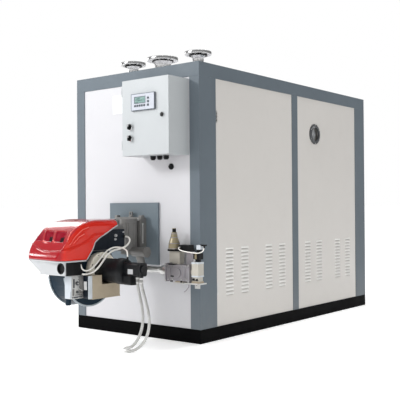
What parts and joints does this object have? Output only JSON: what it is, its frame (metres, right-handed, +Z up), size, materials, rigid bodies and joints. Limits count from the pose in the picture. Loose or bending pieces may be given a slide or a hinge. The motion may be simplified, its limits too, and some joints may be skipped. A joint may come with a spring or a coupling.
{
  "type": "industrial boiler",
  "caption": "Sheet-clad packaged boiler on a black skid, with a forced-draught burner under a red hood, gas train, control box and roof flanges.",
  "frame": {"origin": "on the floor, at the centre of the cabinet's footprint, where the skid's middle cross-beam rests", "axes": "+X to the right seen from the burner end, +Y towards the rear along the length, +Z up"},
  "size_m": [1.264, 3.1156, 1.934],
  "materials": {
    "amber_alloy": "amber",
    "black_plastic": "black",
    "box_paint": "light grey powder coat",
    "cable_white": "white sheath",
    "casing_white": "pale grey",
    "cast_aluminium": "dark cast, painted",
    "chrome_trim": "polished",
    "controller_plastic": "pale grey",
    "cream_plastic": "cream",
    "disc_cream": "cream paint",
    "display_glass": "green-grey display",
    "fan_blue": "dark blue-grey paint",
    "flange_steel": "machined steel",
    "frame_paint": "satin blue-grey paint",
    "galvanised": "zinc plated",
    "hood_red": "gloss red",
    "hose_braid": "braided",
    "intake_beige": "beige paint",
    "motor_black": "black paint",
    "navy_plastic": "dark navy",
    "panel_paint": "satin off-white paint",
    "plate_paint": "grey paint",
    "port_glass": "sight glass",
    "port_ring": "dark grey",
    "skid_paint": "matt black paint",
    "train_alloy": "cast gas-valve alloy",
    "vessel_jacket": "dull insulation jacket"
  },
  "bodies": {
    "boiler": {"air_intake_box": "intake_beige", "base_skid": "skid_paint", "boiler_vessel": "vessel_jacket", "burner_body": "cast_aluminium", "burner_cable": "cable_white", "burner_flange": "cast_aluminium", "burner_hood": "hood_red", "burner_motor": "motor_black", "burner_plate": "plate_paint", "cable_glands": "black_plastic", "control_box": "box_paint", "damper_motor": "train_alloy", "damper_servo": "black_plastic", "electrics_box": "navy_plastic", "fan_housing": "fan_blue", "front_left_post": "frame_paint", "front_panel": "panel_paint", "front_right_post": "frame_paint", "gas_filter": "cream_plastic", "gas_inlet_elbow": "cast_aluminium", "gas_pipe": "galvanised", "gas_regulator": "amber_alloy", "gas_valve": "cream_plastic", "hose_end_fittings": "galvanised", "left_front_panel": "panel_paint", "left_mid_post": "frame_paint", "left_rear_panel": "panel_paint", "left_roof_flange": "flange_steel", "lower_casing": "casing_white", "middle_roof_flange": "flange_steel", "motor_end_bell": "motor_black", "motor_flange": "disc_cream", "oil_hose_return": "hose_braid", "oil_hose_supply": "hose_braid", "oil_pump": "motor_black", "port_glass": "port_glass", "port_ring": "port_ring", "pressure_switch": "black_plastic", "pump_cable": "cable_white", "rear_left_post": "frame_paint", "rear_panel": "panel_paint", "rear_right_post": "frame_paint", "right_front_panel": "panel_paint", "right_mid_post": "frame_paint", "right_rear_panel": "panel_paint", "right_roof_flange": "flange_steel", "roof_panel": "panel_paint", "top_frame": "frame_paint", "train_bracket": "galvanised", "valve_block": "train_alloy", "valve_cable": "cable_white", "valve_solenoid": "black_plastic"},
    "control_door": {"control_door": "box_paint", "controller": "controller_plastic", "controller_display": "display_glass", "bezels_and_lock": "chrome_trim"},
    "upper_knob": {"upper_selector_knob": "black_plastic"},
    "lower_knob": {"lower_selector_knob": "black_plastic"}
  },
  "joints": [
    {"name": "control_door_hinge", "type": "hinge", "parent": "boiler", "child": "control_door", "pos_m": [0.0755, -1.348, 1.45], "axis": [0, 0, -1], "range_deg": [0, 115]},
    {"name": "upper_selector_turn", "type": "hinge", "parent": "control_door", "child": "upper_knob", "pos_m": [0.16, -1.356, 1.39], "axis": [0, -1, 0], "range_deg": [-45, 45]},
    {"name": "lower_selector_turn", "type": "hinge", "parent": "control_door", "child": "lower_knob", "pos_m": [0.16, -1.356, 1.317], "axis": [0, -1, 0], "range_deg": [-45, 45]}
  ]
}
